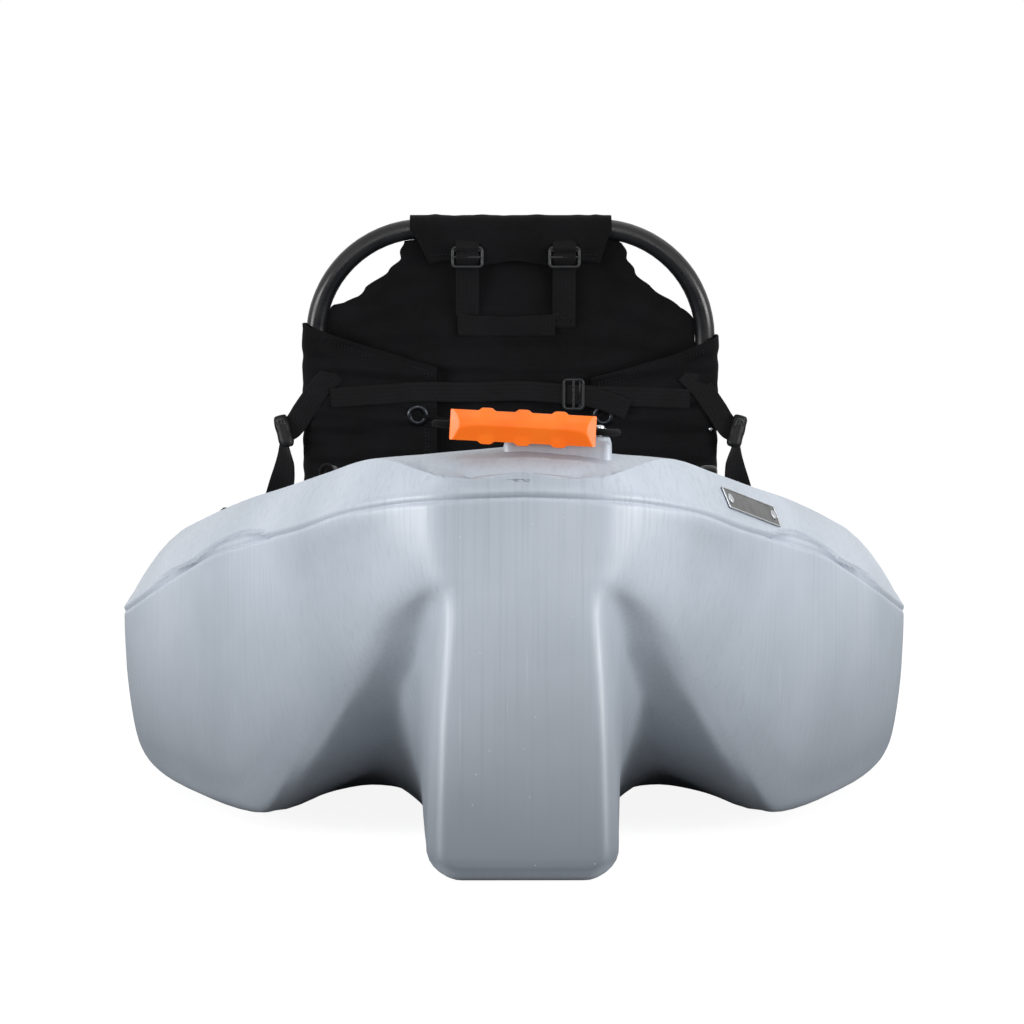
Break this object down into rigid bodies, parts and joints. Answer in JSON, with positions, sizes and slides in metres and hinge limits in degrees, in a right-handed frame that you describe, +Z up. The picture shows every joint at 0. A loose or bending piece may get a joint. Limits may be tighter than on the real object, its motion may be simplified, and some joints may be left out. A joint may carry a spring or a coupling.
{
  "type": "fishing kayak",
  "caption": "Sit-on-top fishing kayak with a tunnel hull, framed folding seat, hatches, foot braces, rod holders, gear tracks and carry handles.",
  "frame": {"origin": "under the middle of the hull, on the plane its three keels stand on", "axes": "+Z up, +Y towards the bow, +X to starboard; the stern is at -Y"},
  "size_m": [0.914, 3.55, 0.6633],
  "materials": {
    "hull_polyethylene": "rotomoulded, satin",
    "orange_plastic": "moulded, semi-gloss",
    "black_plastic": "moulded, fine grain",
    "black_rubber": "matte",
    "black_tube": "powder coated, satin",
    "black_mesh_cloth": "woven",
    "black_webbing": "ribbed webbing",
    "steel": "polished",
    "plate_black": "smooth"
  },
  "bodies": {
    "hull": {"bow_hatch_rim": "black_plastic", "bow_hatch_gasket": "black_rubber", "bow_hatch_hinge": "black_plastic", "hull_shell": "hull_polyethylene", "day_hatch_ring": "black_plastic", "rod_holder_port": "black_plastic", "rod_holder_starboard": "black_plastic", "gear_track_port": "black_tube", "gear_track_starboard": "black_tube", "foot_rail_port": "black_tube", "foot_rail_starboard": "black_tube", "stern_handle_screw_1": "steel", "stern_handle_screw_2": "steel", "seat_base_frame": "black_tube", "seat_rear_crossbar": "black_tube", "seat_leg_port": "black_tube", "seat_leg_starboard": "black_tube", "seat_base_sling": "black_mesh_cloth", "seat_pivot_bolt_port": "steel", "seat_pivot_bolt_starboard": "steel", "strap_eye_port": "black_plastic", "strap_eye_starboard": "black_plastic", "tank_well_bungee": "black_rubber", "tank_well_eye_port_1": "black_plastic", "tank_well_eye_port_2": "black_plastic", "tank_well_eye_starboard_1": "black_plastic", "tank_well_eye_starboard_2": "black_plastic", "hin_plate": "plate_black"},
    "seat_back": {"seat_back_frame": "black_tube", "seat_back_panel": "black_mesh_cloth", "seat_wing_port": "black_mesh_cloth", "seat_wing_starboard": "black_mesh_cloth", "seat_top_sleeve": "black_mesh_cloth", "top_buckle_port": "black_plastic", "top_buckle_starboard": "black_plastic", "top_strap_port": "black_webbing", "top_strap_starboard": "black_webbing", "waist_webbing": "black_webbing", "waist_buckle": "black_plastic", "grommet_port": "steel", "grommet_starboard": "steel", "lacing_cord": "black_webbing", "side_strap_port": "black_webbing", "side_strap_starboard": "black_webbing", "side_buckle_port": "black_plastic", "side_buckle_starboard": "black_plastic"},
    "stern_handle": {"stern_handle_grip": "orange_plastic", "stern_handle_rope": "black_webbing"},
    "bow_handle": {"bow_handle_grip": "orange_plastic", "bow_handle_rope": "black_webbing"},
    "side_handle_port": {"side_handle_port_grip": "black_rubber", "side_handle_port_rope": "black_webbing"},
    "side_handle_starboard": {"side_handle_starboard_grip": "black_rubber", "side_handle_starboard_rope": "black_webbing"},
    "bow_hatch_lid": {"bow_hatch_lid": "hull_polyethylene"},
    "day_hatch_lid": {"day_hatch_lid": "black_plastic"},
    "drain_plug": {"drain_plug": "black_plastic"},
    "foot_pedal_port": {"foot_pedal_port": "black_plastic"},
    "foot_pedal_starboard": {"foot_pedal_starboard": "black_plastic"}
  },
  "joints": [
    {"name": "seat_back_fold", "type": "hinge", "parent": "hull", "child": "seat_back", "pos_m": [0, -0.4, 0.284], "axis": [-1, 0, 0], "range_deg": [0, 98], "deforming": ["side_strap_port", "side_strap_starboard"]},
    {"name": "stern_handle_lift", "type": "hinge", "parent": "hull", "child": "stern_handle", "pos_m": [0, -1.719, 0.3895], "axis": [-1, 0, 0], "range_deg": [0, 100]},
    {"name": "bow_handle_lift", "type": "hinge", "parent": "hull", "child": "bow_handle", "pos_m": [0, 1.668, 0.3935], "axis": [1, 0, 0], "range_deg": [0, 100]},
    {"name": "side_handle_port_lift", "type": "hinge", "parent": "hull", "child": "side_handle_port", "pos_m": [-0.383, 0.4, 0.25889], "axis": [0, 1, 0], "range_deg": [0, 100]},
    {"name": "side_handle_starboard_lift", "type": "hinge", "parent": "hull", "child": "side_handle_starboard", "pos_m": [0.383, 0.4, 0.25889], "axis": [0, -1, 0], "range_deg": [0, 100]},
    {"name": "bow_hatch_open", "type": "hinge", "parent": "hull", "child": "bow_hatch_lid", "pos_m": [0, 1.38742, 0.36483], "axis": [-1, 0, 0], "range_deg": [0, 105]},
    {"name": "day_hatch_turn", "type": "hinge", "parent": "hull", "child": "day_hatch_lid", "pos_m": [0, 0.56, 0.19], "axis": [0, 0, 1], "range_deg": [0, 90]},
    {"name": "drain_plug_turn", "type": "hinge", "parent": "hull", "child": "drain_plug", "pos_m": [0, 1.545, 0.38], "axis": [0, 0, 1], "range_deg": [0, 90]},
    {"name": "foot_pedal_port_slide", "type": "slide", "parent": "hull", "child": "foot_pedal_port", "axis": [0, 1, 0], "range_m": [-0.24, 0.115]},
    {"name": "foot_pedal_starboard_slide", "type": "slide", "parent": "hull", "child": "foot_pedal_starboard", "axis": [0, 1, 0], "range_m": [-0.24, 0.115]}
  ]
}
